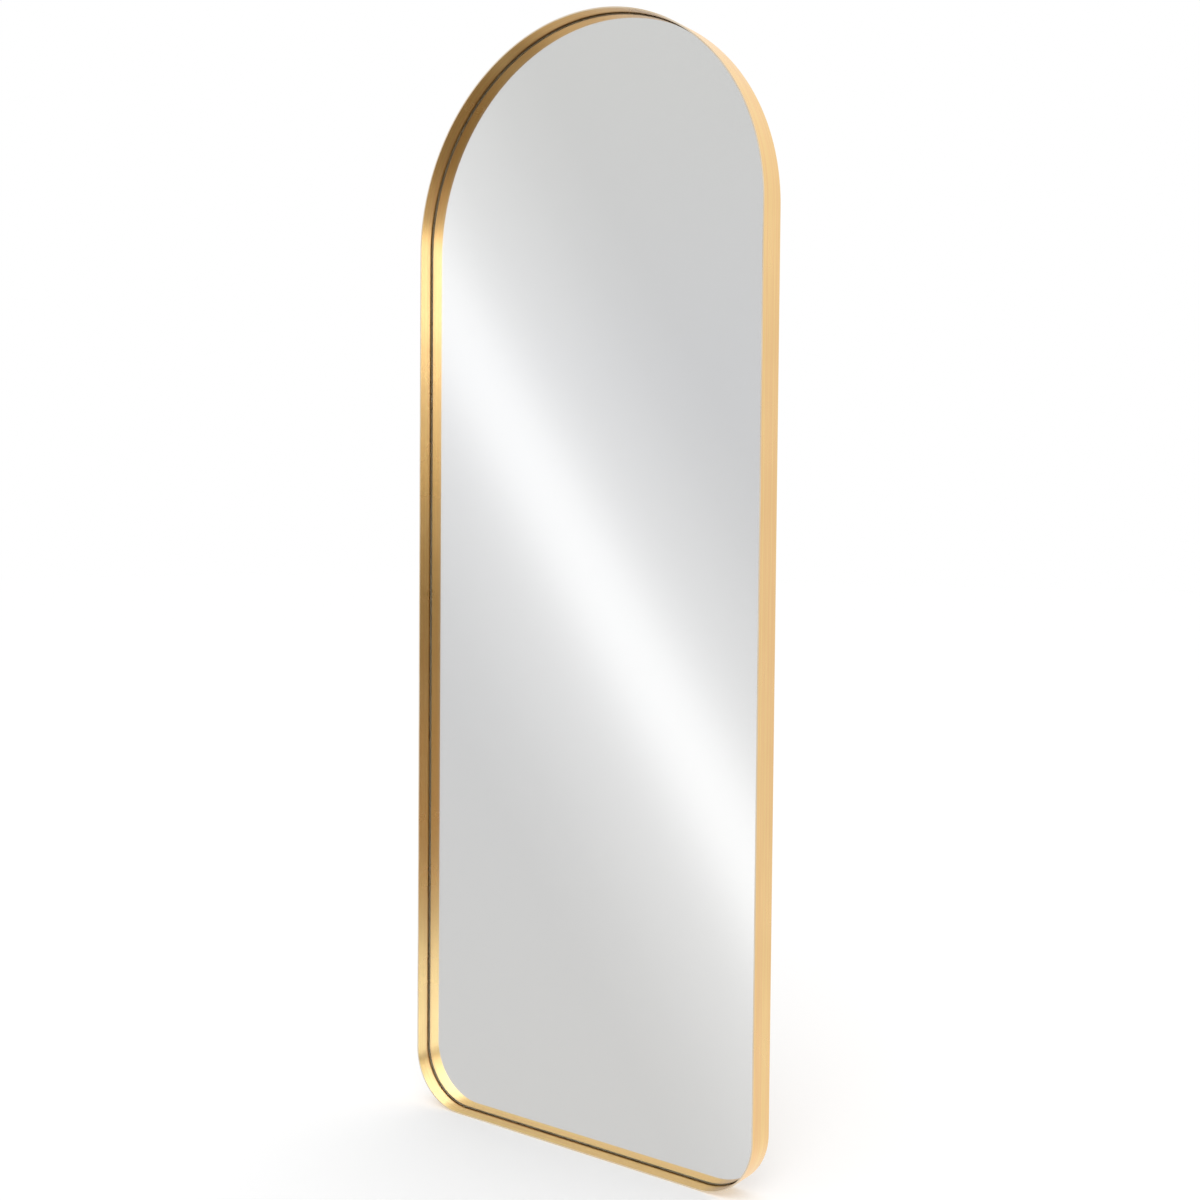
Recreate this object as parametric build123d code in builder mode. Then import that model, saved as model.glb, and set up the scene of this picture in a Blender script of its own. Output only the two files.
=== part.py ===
from build123d import *
import os
from math import acos, cos, degrees, radians, sin

# Arched wall mirror, full length: a deep, thin band of brushed metal round a sunk sheet of silvered glass.
# Millimetres. +Z is up, +Y points into the wall, and the mirror looks along -Y.
# The origin is the bottom middle of the band's back rim, which lies on the wall at y = 0.

# The band, a steel strip bent to the outline: half round on top, two rounded corners below
width = 600
height = 1600
depth = 42
band_thickness = 2
corner_radius = 84
front_rim_break = 0.5
back_rim_break = 0.25

# The stack inside the band, from the front face of the glass back to the board
glass_recess = 21
glass_thickness = 4
glass_arris = 0.4
edge_gap = 1
coat_thickness = 0.2
tape_thickness = 0.8
board_thickness = 9

# The rubber strip between the band and the edges of glass and board
strip_clearance = 0.3
strip_setback = 1.5
strip_depth = 10.5

# The strips of double-sided tape that bond the glass to the board
tape_width = 25
tape_pitch = 110
tape_steps = (-2, -1, 0, 1, 2)
tape_end_margin = 30

# The bent tabs that are welded in the band and screwed to the board
tab_sheet = 1.5
tab_width = 20
tab_reach = 18
tab_leg = 5.5
tab_bend = 0.8
tab_corner = 3
tab_hole_radius = 2.2
tab_hole_reach = 11
arch_tab_angles = (30, 90, 150)
side_tab_heights = (950, 350)
bottom_tab_offset = 110
weld_gap = 0.05

# The strip that backs the butt joint of the band
seam_plate_length = 80
seam_plate_depth = 5
seam_plate_sheet = 1.5
seam_plate_corner = 1

# Pan-head screws, the same for the tabs and the hangers
screw_head_radius = 3.75
screw_head_height = 2.2
screw_head_slope = 0.8
screw_core_radius = 1.7
screw_core_sides = 8
screw_length = 9
pilot_clearance = 0.05

# The two hangers: a D-shaped wire ring in the eye of a folded strap.
# Flats stand for the round wire, and short straight lengths for its bends.
hanger_offset = 210
hanger_height = 1250
wire_radius = 1.5
wire_sides = 12
eye_clearance = 0.1
strap_sheet = 1.2
strap_width = 17
strap_length = 42
strap_layer_gap = 0.1
strap_return_radius = 2
strap_corner = 4
strap_screw_distances = (13, 33)
strap_hole_radius = 2.2
ring_half_width = 11.5
ring_height = 20
ring_corner_radius = 2.5
ring_butt_gap = 0.4
ring_corner_steps = 3
ring_crown_steps = 12
ring_lean = 2.8

# Places that follow from the dimensions above
half_width = width / 2
arch_height = height - half_width
inner_radius = half_width - band_thickness
glass_inset = band_thickness + edge_gap
glass_front = -depth + glass_recess
glass_back = glass_front + glass_thickness
tape_front = glass_back + coat_thickness
board_front = tape_front + tape_thickness
board_back = board_front + board_thickness
wall_side = Vector(0, 1, 0)


def outline(inset):
    """The edges of the mirror's outline, moved inwards by inset, from the bottom run anticlockwise."""
    half = half_width - inset
    corner = corner_radius - inset
    with BuildLine() as line:
        bottom = Line((corner - half, inset), (half - corner, inset))
        right_corner = JernArc(bottom @ 1, bottom % 1, corner, 90)
        right_side = Line(right_corner @ 1, (half, arch_height))
        arch = JernArc(right_side @ 1, right_side % 1, half, 180)
        left_side = Line(arch @ 1, (-half, corner_radius))
        JernArc(left_side @ 1, left_side % 1, corner, 90)
    return line.edges()


def front_plane(front):
    """The plane of a layer's front face, seen from the room. A layer is extruded back from it."""
    return Plane(origin=(0, front, 0), x_dir=(1, 0, 0), z_dir=(0, -1, 0))


os.makedirs("parts", exist_ok=True)


# The band. Its front rim is broken and polished, its back rim only deburred.
with BuildPart() as frame_band:
    with BuildSketch(front_plane(-depth)):
        make_face(outline(0))
        offset(amount=-band_thickness, mode=Mode.SUBTRACT)
    extrude(amount=-depth)
    chamfer(frame_band.edges().group_by(Axis.Y)[0], front_rim_break)
    chamfer(frame_band.edges().group_by(Axis.Y)[-1], back_rim_break)
frame_band.part.label = "frame_band"
export_step(frame_band.part, "parts/frame_band.step")


# The glass, with a ground arris round both faces
with BuildPart() as mirror_glass:
    with BuildSketch(front_plane(glass_front)):
        make_face(outline(glass_inset))
    extrude(amount=-glass_thickness)
    chamfer(mirror_glass.edges().group_by(Axis.Y)[0], glass_arris)
    chamfer(mirror_glass.edges().group_by(Axis.Y)[-1], glass_arris)
mirror_glass.part.label = "mirror_glass"
export_step(mirror_glass.part, "parts/mirror_glass.step")


# The silver with its paint and safety film, on the back of the glass inside the arris
with BuildPart() as silver_coat:
    with BuildSketch(front_plane(glass_back)):
        make_face(outline(glass_inset + glass_arris))
    extrude(amount=-coat_thickness)
silver_coat.part.label = "silver_coat"
export_step(silver_coat.part, "parts/silver_coat.step")


# Strips of double-sided tape, side by side, each as long as the glass is high at its place
tape_bottom = glass_inset + tape_end_margin
for number, step in enumerate(tape_steps, start=1):
    tape_x = step * tape_pitch
    arch_rise = (inner_radius**2 - (abs(tape_x) + tape_width / 2) ** 2) ** 0.5
    tape_top = arch_height + arch_rise - tape_end_margin
    with BuildPart() as tape_strip:
        with BuildSketch(front_plane(tape_front)):
            with Locations((tape_x, (tape_bottom + tape_top) / 2)):
                Rectangle(tape_width, tape_top - tape_bottom)
        extrude(amount=-tape_thickness)
    tape_strip.part.label = f"tape_strip_{number}"
    export_step(tape_strip.part, f"parts/{tape_strip.part.label}.step")


# The rubber strip, stuck round the edges of glass and board a little short of the band
with BuildPart() as edge_strip:
    with BuildSketch(front_plane(glass_front + strip_setback)):
        make_face(outline(band_thickness + strip_clearance))
        offset(amount=strip_clearance - edge_gap, mode=Mode.SUBTRACT)
    extrude(amount=-strip_depth)
edge_strip.part.label = "edge_strip"
export_step(edge_strip.part, "parts/edge_strip.step")


# Where the tabs sit: a point on the inner face of the band, and the way inwards from there.
# In the hollow of the arch a flat leg touches the band with its two ends.
tab_places = []
leg_radius = (inner_radius**2 - (tab_width / 2) ** 2) ** 0.5 - weld_gap
for angle in arch_tab_angles:
    outwards = Vector(cos(radians(angle)), 0, sin(radians(angle)))
    tab_places.append((Vector(0, 0, arch_height) + outwards * leg_radius, -outwards))
for side in (-1, 1):
    for tab_height in side_tab_heights:
        tab_places.append((Vector(side * inner_radius, 0, tab_height), Vector(-side, 0, 0)))
    tab_places.append((Vector(side * bottom_tab_offset, 0, band_thickness), Vector(0, 0, 1)))

# Each tab is a strip with one bend: its leg is welded to the band, its flange lies on the board
tab_screw_seats = []
for number, (wall_point, inwards) in enumerate(tab_places, start=1):
    corner_point = wall_point + wall_side * board_back
    screw_seat = Plane(
        origin=corner_point + inwards * tab_hole_reach + wall_side * tab_sheet, z_dir=wall_side
    )
    tab_screw_seats.append(screw_seat)
    with BuildPart() as board_tab:
        with BuildSketch(Plane(origin=corner_point, x_dir=inwards, z_dir=inwards.cross(wall_side))):
            with BuildLine():
                middle = tab_sheet / 2
                FilletPolyline(
                    (middle, tab_leg), (middle, middle), (tab_reach, middle), radius=tab_bend + middle
                )
            trace(line_width=tab_sheet)
        extrude(amount=tab_width / 2, both=True)
        free_corners = board_tab.edges().filter_by(Axis.Y).sort_by(Axis(corner_point, inwards))[-2:]
        chamfer(free_corners, tab_corner)
        with Locations(screw_seat):
            Hole(tab_hole_radius, depth=2 * tab_sheet)
    board_tab.part.label = f"board_tab_{number:02d}"
    export_step(board_tab.part, f"parts/{board_tab.part.label}.step")


# The butt joint of the band is at the bottom middle. This strip is welded over it, behind the board.
with BuildPart() as seam_plate:
    with BuildSketch(Plane.XY.offset(band_thickness)):
        with Locations((0, board_back / 2)):
            RectangleRounded(seam_plate_length, seam_plate_depth, seam_plate_corner)
    extrude(amount=seam_plate_sheet)
seam_plate.part.label = "seam_plate"
export_step(seam_plate.part, "parts/seam_plate.step")


# The hangers. Each strap is one strip, folded round the bar of its ring and back on itself.
# Heights here count from the axis of the eye, which is the eye's outer radius off the board.
eye_radius = wire_radius + eye_clearance
eye_line = eye_radius + strap_sheet / 2
eye_axis = board_back + eye_radius + strap_sheet
upper_line = strap_sheet + strap_layer_gap - eye_line
strap_top = eye_axis + upper_line + strap_sheet / 2
# How far past the top of the eye the strip turns before the return bend lays it on its lower layer
return_turn = degrees(acos((strap_return_radius + upper_line) / (strap_return_radius + eye_line)))
# At rest the ring stands up and leans on the board, just clear of it
ring_normal = Vector(0, -cos(radians(ring_lean)), -sin(radians(ring_lean)))

hanger_screw_seats = []
for side, side_name in ((-1, "left"), (1, "right")):
    eye_centre = Vector(side * hanger_offset, eye_axis, hanger_height)

    with BuildPart() as hanger_strap:
        with BuildSketch(Plane(origin=eye_centre, x_dir=(0, 0, 1), z_dir=(-1, 0, 0))):
            with BuildLine():
                lower_layer = Line((-strap_length, -eye_line), (0, -eye_line))
                eye = JernArc(lower_layer @ 1, lower_layer % 1, eye_line, 180 + return_turn)
                return_bend = JernArc(eye @ 1, eye % 1, strap_return_radius, -return_turn)
                Line(return_bend @ 1, (-strap_length, upper_line))
            trace(line_width=strap_sheet)
        extrude(amount=strap_width / 2, both=True)
        chamfer(hanger_strap.edges().filter_by(Axis.Y).group_by(Axis.Z)[0], strap_corner)
        for distance in strap_screw_distances:
            screw_seat = Plane(origin=(eye_centre.X, strap_top, hanger_height - distance), z_dir=wall_side)
            hanger_screw_seats.append(screw_seat)
            with Locations(screw_seat):
                Hole(strap_hole_radius, depth=3 * strap_sheet)
    hanger_strap.part.label = f"hanger_strap_{side_name}"
    export_step(hanger_strap.part, f"parts/{hanger_strap.part.label}.step")

    # The ring's wire starts and ends at a butt gap in the middle of its bar, out of sight in the eye
    with BuildLine(Plane(origin=eye_centre, x_dir=(1, 0, 0), z_dir=ring_normal)):
        bar = Line((ring_butt_gap / 2, 0), (ring_half_width - ring_corner_radius, 0))
        corner = JernArc(bar @ 1, bar % 1, ring_corner_radius, 90)
        leg = Line(corner @ 1, (ring_half_width, ring_height - ring_half_width))
        crown = JernArc(leg @ 1, leg % 1, ring_half_width, 180)
        far_leg = Line(crown @ 1, (-ring_half_width, ring_corner_radius))
        far_corner = JernArc(far_leg @ 1, far_leg % 1, ring_corner_radius, 90)
        far_bar = Line(far_corner @ 1, (-ring_butt_gap / 2, 0))
    wire_points = [bar @ 0]
    bends = ((corner, ring_corner_steps), (crown, ring_crown_steps), (far_corner, ring_corner_steps))
    for bend, steps in bends:
        wire_points += [bend @ (step / steps) for step in range(steps + 1)]
    wire_points.append(far_bar @ 1)
    with BuildPart() as hanger_ring:
        with BuildLine() as wire:
            Polyline(*wire_points)
        with BuildSketch(Plane(origin=wire.line @ 0, z_dir=wire.line % 0)):
            RegularPolygon(wire_radius, wire_sides)
        sweep(path=wire.line, transition=Transition.RIGHT)
    hanger_ring.part.label = f"hanger_ring_{side_name}"
    export_step(hanger_ring.part, f"parts/{hanger_ring.part.label}.step")


# One pan-head screw, standing with its head up on the plane of its seat, with a plain core
with BuildPart() as pan_screw:
    with BuildSketch(Plane.XY):
        Circle(screw_head_radius)
    extrude(amount=screw_head_height)
    chamfer(pan_screw.edges().group_by(Axis.Z)[-1], screw_head_slope)
    with BuildSketch(Plane.XY):
        RegularPolygon(screw_core_radius, screw_core_sides)
    extrude(amount=-screw_length)

# The screws of the tabs and of the hangers, each set in one node
with BuildPart() as tab_screws:
    with Locations(*tab_screw_seats):
        add(pan_screw.part)
tab_screws.part.label = "tab_screws"
export_step(tab_screws.part, "parts/tab_screws.step")

with BuildPart() as hanger_screws:
    with Locations(*hanger_screw_seats):
        add(pan_screw.part)
hanger_screws.part.label = "hanger_screws"
export_step(hanger_screws.part, "parts/hanger_screws.step")


# The board carries the glass, and takes every screw in a blind pilot hole from behind.
# Hole and core have the same few flats; the thread that cuts into the board is left out.
with BuildPart() as backing_board:
    with BuildSketch(front_plane(board_front)):
        make_face(outline(glass_inset))
    extrude(amount=-board_thickness)
    for screw_seat in tab_screw_seats + hanger_screw_seats:
        grip = screw_seat.origin.Y - board_back
        with BuildSketch(screw_seat.offset(-grip)):
            RegularPolygon(screw_core_radius + pilot_clearance, screw_core_sides)
        extrude(amount=grip - screw_length - pilot_clearance, mode=Mode.SUBTRACT)
backing_board.part.label = "backing_board"
export_step(backing_board.part, "parts/backing_board.step")
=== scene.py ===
from math import atan2, cos, pi, radians, sin

import bmesh
import bpy
from mathutils import Matrix, Vector


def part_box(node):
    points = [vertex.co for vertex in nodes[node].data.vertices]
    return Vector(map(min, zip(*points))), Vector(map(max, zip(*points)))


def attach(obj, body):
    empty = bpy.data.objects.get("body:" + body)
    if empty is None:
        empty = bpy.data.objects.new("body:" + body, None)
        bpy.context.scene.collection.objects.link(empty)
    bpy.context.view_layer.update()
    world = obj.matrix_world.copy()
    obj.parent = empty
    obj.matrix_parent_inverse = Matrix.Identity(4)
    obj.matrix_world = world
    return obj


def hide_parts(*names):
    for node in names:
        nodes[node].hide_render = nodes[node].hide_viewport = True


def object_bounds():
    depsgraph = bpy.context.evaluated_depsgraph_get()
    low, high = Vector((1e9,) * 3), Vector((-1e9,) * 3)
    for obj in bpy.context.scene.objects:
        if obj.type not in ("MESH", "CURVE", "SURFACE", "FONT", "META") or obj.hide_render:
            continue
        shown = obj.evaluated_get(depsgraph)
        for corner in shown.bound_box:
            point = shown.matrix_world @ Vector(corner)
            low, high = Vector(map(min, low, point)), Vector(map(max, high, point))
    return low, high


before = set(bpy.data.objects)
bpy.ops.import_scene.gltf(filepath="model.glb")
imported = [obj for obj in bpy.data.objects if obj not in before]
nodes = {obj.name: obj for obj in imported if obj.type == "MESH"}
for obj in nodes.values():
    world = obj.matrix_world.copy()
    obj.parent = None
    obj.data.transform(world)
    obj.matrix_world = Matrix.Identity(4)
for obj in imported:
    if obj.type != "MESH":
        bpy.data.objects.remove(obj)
cad_low, cad_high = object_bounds()


# The band. A strip of steel, 42 mm deep and 2 mm thick, bent round a former to the arch and the two lower
# corners, butt welded at the bottom middle and ground flush. It is brushed along its length and coated gold.
# Its rims are broken with a file, so they catch a thin line of light.
half_width = cad_high.x
arch_height = cad_high.z - half_width
band_front = cad_low.y
band_thickness = 0.002
corner_radius = 0.084
front_rim_round = 0.0005
back_rim_break = 0.00025
corner_steps = 24
arch_steps = 112
bend_axis = Vector((0, -1, 0))
corner_reach = half_width - corner_radius
side_run = arch_height - corner_radius

# One way round the outline, anticlockwise from the bottom middle. Each leg says how far it goes, or about which
# centre it turns.
way_round = [
    {"travel": Vector((corner_reach, 0, 0)), "steps": 4},
    {"centre": Vector((corner_reach, 0, corner_radius)), "angle": pi / 2, "steps": corner_steps},
    {"travel": Vector((0, 0, side_run)), "steps": 12},
    {"centre": Vector((0, 0, arch_height)), "angle": pi, "steps": arch_steps},
    {"travel": Vector((0, 0, -side_run)), "steps": 12},
    {"centre": Vector((-corner_reach, 0, corner_radius)), "angle": pi / 2, "steps": corner_steps},
    {"travel": Vector((corner_reach, 0, 0)), "steps": 4},
]


def run_along(shape, start, way, axis=bend_axis):
    """Draws the start vertices and edges along the way's straight runs and bends, and returns the last ones."""
    last = start
    for leg in way:
        last = bmesh.ops.spin(
            shape,
            geom=last,
            cent=leg.get("centre", Vector()),
            axis=axis,
            dvec=leg.get("travel", Vector()) / leg["steps"],
            angle=leg.get("angle", 0),
            steps=leg["steps"],
            use_merge=False,
            use_duplicate=False,
        )["geom_last"]
    return last


def strip_section(shape, insets, depths, front_round, front_segments, back_round, back_segments):
    """The strip's cross section at the bottom middle: a thin rectangle with its corners rounded, edges only."""
    corners = [
        shape.verts.new((0, y, z))
        for y, z in (
            (depths[0], insets[0]),
            (depths[1], insets[0]),
            (depths[1], insets[1]),
            (depths[0], insets[1]),
        )
    ]
    shape.faces.new(corners)
    for wanted, radius, segments in (
        ((corners[0], corners[3]), front_round, front_segments),
        ((corners[1], corners[2]), back_round, back_segments),
    ):
        bmesh.ops.bevel(
            shape,
            geom=list(wanted),
            offset=radius,
            offset_type="OFFSET",
            affect="VERTICES",
            segments=segments,
            profile=0.5,
            material=-1,
        )
    bmesh.ops.delete(shape, geom=list(shape.faces), context="FACES_ONLY")
    return list(shape.verts) + list(shape.edges)


def close_and_face_out(shape):
    """Joins the ends where they meet, and turns every face outwards."""
    bmesh.ops.remove_doubles(shape, verts=list(shape.verts), dist=1e-5)
    bmesh.ops.recalc_face_normals(shape, faces=list(shape.faces))


def place_on_outline(point):
    """How far round the outline a point is, and how far inside the outer face."""
    x, z = point.x, point.z
    bend = corner_radius * pi / 2
    if z > arch_height:
        angle = atan2(z - arch_height, x)
        inset = half_width - Vector((x, z - arch_height)).length
        return corner_reach + bend + side_run + half_width * angle, inset
    if z < corner_radius and abs(x) > corner_reach:
        across, down = abs(x) - corner_reach, corner_radius - z
        inset = corner_radius - Vector((across, down)).length
        turned = atan2(across, down) * corner_radius
        along = corner_reach + turned
    elif z < corner_radius:
        along, inset = abs(x), z
    else:
        along, inset = corner_reach + bend + z - corner_radius, half_width - abs(x)
    if x < 0:
        along = outline_length - along
    return along, inset


outline_length = 2 * (corner_reach + corner_radius * pi / 2 + side_run) + half_width * pi


def unroll(shape, middle_inset, front, back):
    """A UV map in metres for a strip: u runs along the strip, v runs round its section."""
    layer = shape.loops.layers.uv.new("along")
    depth = back - front
    for face in shape.faces:
        middle = face.calc_center_median()
        middle_along, middle_in = place_on_outline(middle)
        for loop in face.loops:
            along, inset = place_on_outline(loop.vert.co)
            if along - middle_along > outline_length / 2:
                along -= outline_length
            elif middle_along - along > outline_length / 2:
                along += outline_length
            y = loop.vert.co.y - front
            if abs(face.normal.y) > 0.7:
                across = -inset if middle.y < (front + back) / 2 else depth + inset
            else:
                across = y if middle_in < middle_inset else -2 * middle_inset - y
            loop[layer].uv = (along, across)


def mark_sharp(shape, angle):
    """Faces are smooth, but an edge that turns by more than the angle stays sharp."""
    for face in shape.faces:
        face.smooth = True
    for edge in shape.edges:
        edge.smooth = edge.calc_face_angle(0) < angle


def as_piece(shape, name, *materials):
    """Makes the finished shape an object of that name."""
    mesh = bpy.data.meshes.new(name)
    shape.to_mesh(mesh)
    shape.free()
    for material in materials:
        mesh.materials.append(material)
    piece = bpy.data.objects.new(name, mesh)
    bpy.context.scene.collection.objects.link(piece)
    return piece


def material_with(name, **sockets):
    """A new material. Its shader's sockets take the given values. Returns material, nodes, links and shader."""
    material = bpy.data.materials.new(name)
    material.use_nodes = True
    tree = material.node_tree
    shader = tree.nodes["Principled BSDF"]
    for socket, value in sockets.items():
        shader.inputs[socket.replace("_", " ")].default_value = value
    return material, tree.nodes, tree.links, shader


def new_group(name, inputs, outputs):
    """An empty shader node group with named inputs (name, kind, default) and outputs (name, kind)."""
    group = bpy.data.node_groups.new(name, "ShaderNodeTree")
    for socket, kind, default in inputs:
        made = group.interface.new_socket(socket, in_out="INPUT", socket_type="NodeSocket" + kind)
        if default is not None:
            made.default_value = default
    for socket, kind in outputs:
        group.interface.new_socket(socket, in_out="OUTPUT", socket_type="NodeSocket" + kind)
    return group, group.nodes.new("NodeGroupInput"), group.nodes.new("NodeGroupOutput")


def add_node(tree, kind, **settings):
    """A shader node of that kind with its settings."""
    node = tree.nodes.new("ShaderNode" + kind)
    for key, value in settings.items():
        setattr(node, key, value)
    return node


def remap(tree, value, low, high, least=0.0, most=1.0, **settings):
    """Spreads a socket's value from low and high to least and most, cut off there. Returns the new socket."""
    node = add_node(tree, "MapRange", **settings)
    for socket, bound in (("From Min", low), ("From Max", high), ("To Min", least), ("To Max", most)):
        node.inputs[socket].default_value = bound
    tree.links.new(value, node.inputs["Value"])
    return node.outputs["Result"]


def set_ramp(node, stops, interpolation="LINEAR"):
    """Sets a colour ramp's stops, each a place and a grey or a colour."""
    ramp = node.color_ramp
    ramp.interpolation = interpolation
    while len(ramp.elements) > 1:
        ramp.elements.remove(ramp.elements[-1])
    for number, (place, value) in enumerate(stops):
        element = ramp.elements[0] if number == 0 else ramp.elements.new(place)
        element.position = place
        element.color = (value, value, value, 1) if isinstance(value, (int, float)) else (*value, 1)


# Noise in Blender lies mostly between these two values
noise_low, noise_high = 0.3, 0.7


# Brushing leaves fine parallel lines, and broader bands of them where the belt pressed harder
brushing, brushing_in, brushing_out = new_group(
    "brushing",
    [("Vector", "Vector", None), ("Lines per metre", "Float", 2500.0), ("Bands per metre", "Float", 260.0)],
    [("Lines", "Float"), ("Bands", "Float"), ("Patches", "Float")],
)
for output, density, along, detail in (
    ("Lines", "Lines per metre", 14.0, 3.0),
    ("Bands", "Bands per metre", 1.4, 2.0),
):
    size = add_node(brushing, "CombineXYZ")
    size.inputs["X"].default_value = along
    brushing.links.new(brushing_in.outputs[density], size.inputs["Y"])
    size.inputs["Z"].default_value = 1
    spread = add_node(brushing, "VectorMath", operation="MULTIPLY")
    brushing.links.new(brushing_in.outputs["Vector"], spread.inputs[0])
    brushing.links.new(size.outputs[0], spread.inputs[1])
    noise = add_node(brushing, "TexNoise", noise_dimensions="2D")
    noise.inputs["Scale"].default_value = 1
    noise.inputs["Detail"].default_value = detail
    brushing.links.new(spread.outputs[0], noise.inputs["Vector"])
    brushing.links.new(noise.outputs["Fac"], brushing_out.inputs[output])
patch_noise = add_node(brushing, "TexNoise", noise_dimensions="2D")
patch_noise.inputs["Scale"].default_value = 9
patch_noise.inputs["Detail"].default_value = 2
brushing.links.new(brushing_in.outputs["Vector"], patch_noise.inputs["Vector"])
brushing.links.new(patch_noise.outputs["Fac"], brushing_out.inputs["Patches"])

gold_yellow = (0.88, 0.61, 0.27)
gold_peach = (0.86, 0.55, 0.255)
gold, _, gold_links, gold_shader = material_with(
    "brushed_gold_band", Metallic=1.0, Roughness=0.3, Anisotropic=0.7, Anisotropic_Rotation=0.25
)
gold_uv = add_node(gold.node_tree, "UVMap", uv_map="along")
gold_tangent = add_node(gold.node_tree, "Tangent", direction_type="UV_MAP", uv_map="along")
gold_links.new(gold_tangent.outputs["Tangent"], gold_shader.inputs["Tangent"])
gold_brush = add_node(gold.node_tree, "Group", node_tree=brushing)
gold_links.new(gold_uv.outputs["UV"], gold_brush.inputs["Vector"])
gold_tint = add_node(gold.node_tree, "ValToRGB")
set_ramp(gold_tint, [(0.36, gold_peach), (0.64, gold_yellow)])
gold_links.new(gold_brush.outputs["Bands"], gold_tint.inputs["Fac"])
gold_shade = remap(gold.node_tree, gold_brush.outputs["Lines"], noise_low, noise_high, 0.93, 1.04)
gold_colour = add_node(gold.node_tree, "Mix", data_type="RGBA", blend_type="MULTIPLY")
gold_colour.inputs["Factor"].default_value = 1
gold_links.new(gold_tint.outputs["Color"], gold_colour.inputs["A"])
gold_links.new(gold_shade, gold_colour.inputs["B"])
# The front rim is painted paler: a painted highlight along the rim, stronger in some places than in others
gold_parts = add_node(gold.node_tree, "SeparateXYZ")
gold_links.new(gold_uv.outputs["UV"], gold_parts.inputs[0])
rim_place = remap(gold.node_tree, gold_parts.outputs["Y"], -2 * band_thickness, band_thickness)
rim_highlight_zone = add_node(gold.node_tree, "ValToRGB")
set_ramp(rim_highlight_zone, [(0.22, 0), (0.32, 1), (0.68, 1), (0.77, 0)])
gold_links.new(rim_place, rim_highlight_zone.inputs["Fac"])
rim_highlight_patches = remap(gold.node_tree, gold_brush.outputs["Patches"], noise_low, noise_high, 0.55, 0.95)
rim_highlight_share = add_node(gold.node_tree, "Math", operation="MULTIPLY")
gold_links.new(rim_highlight_zone.outputs["Color"], rim_highlight_share.inputs[0])
gold_links.new(rim_highlight_patches, rim_highlight_share.inputs[1])
# The pale colour of the painted rim highlight, mixed into the gold
gold_with_rim_highlight = add_node(gold.node_tree, "Mix", data_type="RGBA")
gold_with_rim_highlight.inputs["B"].default_value = (1.0, 0.9, 0.74, 1)
gold_links.new(rim_highlight_share.outputs[0], gold_with_rim_highlight.inputs["Factor"])
gold_links.new(gold_colour.outputs["Result"], gold_with_rim_highlight.inputs["A"])
gold_links.new(gold_with_rim_highlight.outputs["Result"], gold_shader.inputs["Base Color"])
gold_rough = remap(gold.node_tree, gold_brush.outputs["Patches"], noise_low, noise_high, 0.26, 0.34)
gold_links.new(gold_rough, gold_shader.inputs["Roughness"])
gold_bump = add_node(gold.node_tree, "Bump")
gold_bump.inputs["Strength"].default_value = 0.25
gold_bump.inputs["Distance"].default_value = 0.00002
gold_links.new(gold_brush.outputs["Lines"], gold_bump.inputs["Height"])
gold_links.new(gold_bump.outputs["Normal"], gold_shader.inputs["Normal"])

band_shape = bmesh.new()
band_section = strip_section(
    band_shape, (0, band_thickness), (band_front, 0), front_rim_round, 4, back_rim_break, 2
)
run_along(band_shape, band_section, way_round)
close_and_face_out(band_shape)
unroll(band_shape, band_thickness / 2, band_front, 0)
mark_sharp(band_shape, radians(10))
band = as_piece(band_shape, "gold_band", gold)
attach(band, "mirror")
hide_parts("frame_band")


# The mirror glass. A sheet of 4 mm float glass, cut to the inside of the band 1 mm short all round, with its
# edges ground and their two corners taken off. It is sunk half way into the band.
glass_front = -0.021
glass_thickness = 0.004
glass_arris = 0.0004
glass_inset = 0.003

# Every plain surface has a fine grain: one noise gives two shades, two roughnesses and a slight relief
grain, grain_in, grain_out = new_group(
    "grain",
    [
        ("Vector", "Vector", None),
        ("Scale", "Float", 100.0),
        ("Dark", "Color", (0.2, 0.2, 0.2, 1)),
        ("Light", "Color", (0.8, 0.8, 0.8, 1)),
        ("Smooth", "Float", 0.3),
        ("Rough", "Float", 0.5),
        ("Depth", "Float", 0.00005),
    ],
    [("Colour", "Color"), ("Roughness", "Float"), ("Normal", "Vector")],
)
grain_noise = add_node(grain, "TexNoise")
grain_noise.inputs["Detail"].default_value = 4
grain_share = remap(grain, grain_noise.outputs["Fac"], noise_low, noise_high)
grain_shade = add_node(grain, "Mix", data_type="RGBA")
grain_rough = add_node(grain, "Mix", data_type="FLOAT")
grain_relief = add_node(grain, "Bump")
for output, socket in (
    (grain_in.outputs["Vector"], grain_noise.inputs["Vector"]),
    (grain_in.outputs["Scale"], grain_noise.inputs["Scale"]),
    (grain_share, grain_shade.inputs["Factor"]),
    (grain_in.outputs["Dark"], grain_shade.inputs["A"]),
    (grain_in.outputs["Light"], grain_shade.inputs["B"]),
    (grain_share, grain_rough.inputs["Factor"]),
    (grain_in.outputs["Smooth"], grain_rough.inputs["A"]),
    (grain_in.outputs["Rough"], grain_rough.inputs["B"]),
    (grain_noise.outputs["Fac"], grain_relief.inputs["Height"]),
    (grain_in.outputs["Depth"], grain_relief.inputs["Distance"]),
    (grain_shade.outputs["Result"], grain_out.inputs["Colour"]),
    (grain_rough.outputs["Result"], grain_out.inputs["Roughness"]),
    (grain_relief.outputs["Normal"], grain_out.inputs["Normal"]),
):
    grain.links.new(output, socket)


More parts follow.
